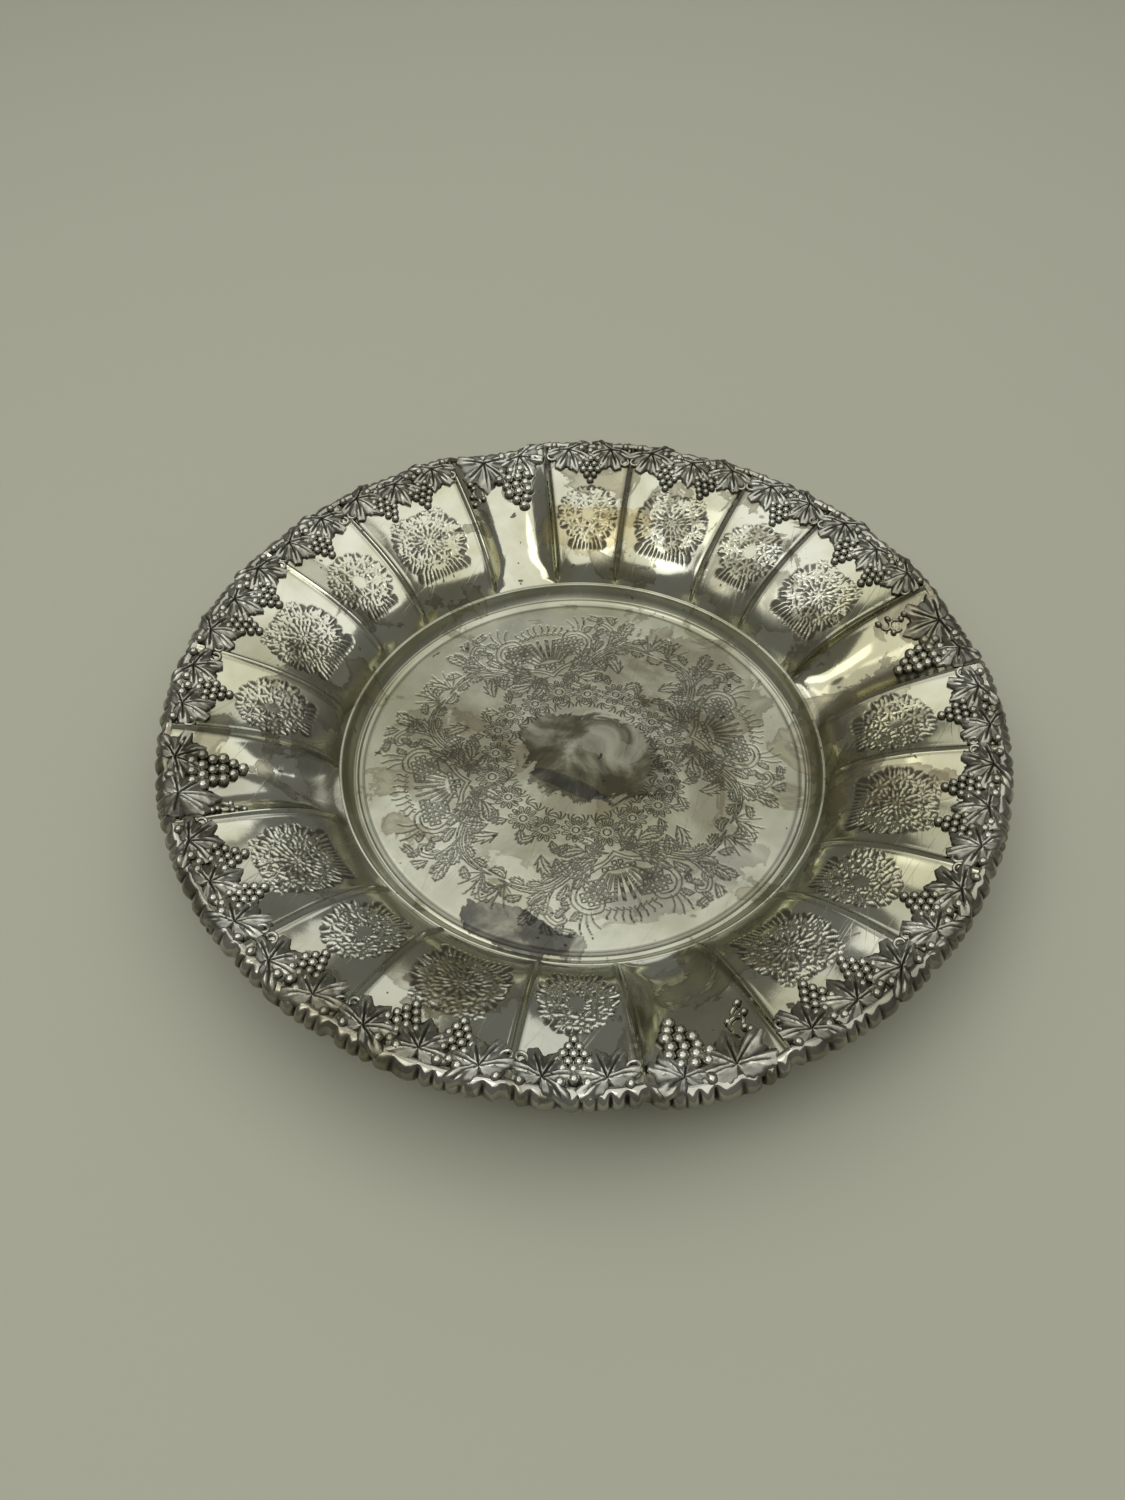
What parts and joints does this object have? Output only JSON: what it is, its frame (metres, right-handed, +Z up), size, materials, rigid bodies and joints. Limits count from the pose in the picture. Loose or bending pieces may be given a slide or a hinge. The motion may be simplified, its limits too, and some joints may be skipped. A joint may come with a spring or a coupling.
{
  "type": "serving dish",
  "caption": "Round silver-plated serving dish with an engraved flat well, a chased wall of plain lobes and ribbed panels, and a cast grapevine border round its edge",
  "frame": {"origin": "on the table, under the middle of the well", "axes": "+Z up out of the dish; +X and +Y each run through the middle of a plain lobe"},
  "size_m": [0.3096, 0.3096, 0.041],
  "materials": {
    "sheet_silver": "silver plate over brass, bright and tarnished in patches",
    "cast_silver": "silver plate over cast brass, oxidised dark in the recesses"
  },
  "bodies": {
    "root": {"dish_body": "sheet_silver", "edge_band": "cast_silver", "lobe_casting_1": "cast_silver", "lobe_casting_2": "cast_silver", "lobe_casting_3": "cast_silver", "lobe_casting_4": "cast_silver", "narrow_casting_1": "cast_silver", "narrow_casting_2": "cast_silver", "narrow_casting_3": "cast_silver", "narrow_casting_4": "cast_silver", "narrow_casting_5": "cast_silver", "narrow_casting_6": "cast_silver", "narrow_casting_7": "cast_silver", "narrow_casting_8": "cast_silver", "wide_casting_1": "cast_silver", "wide_casting_2": "cast_silver", "wide_casting_3": "cast_silver", "wide_casting_4": "cast_silver", "wide_casting_5": "cast_silver", "wide_casting_6": "cast_silver", "wide_casting_7": "cast_silver", "wide_casting_8": "cast_silver"}
  },
  "joints": []
}
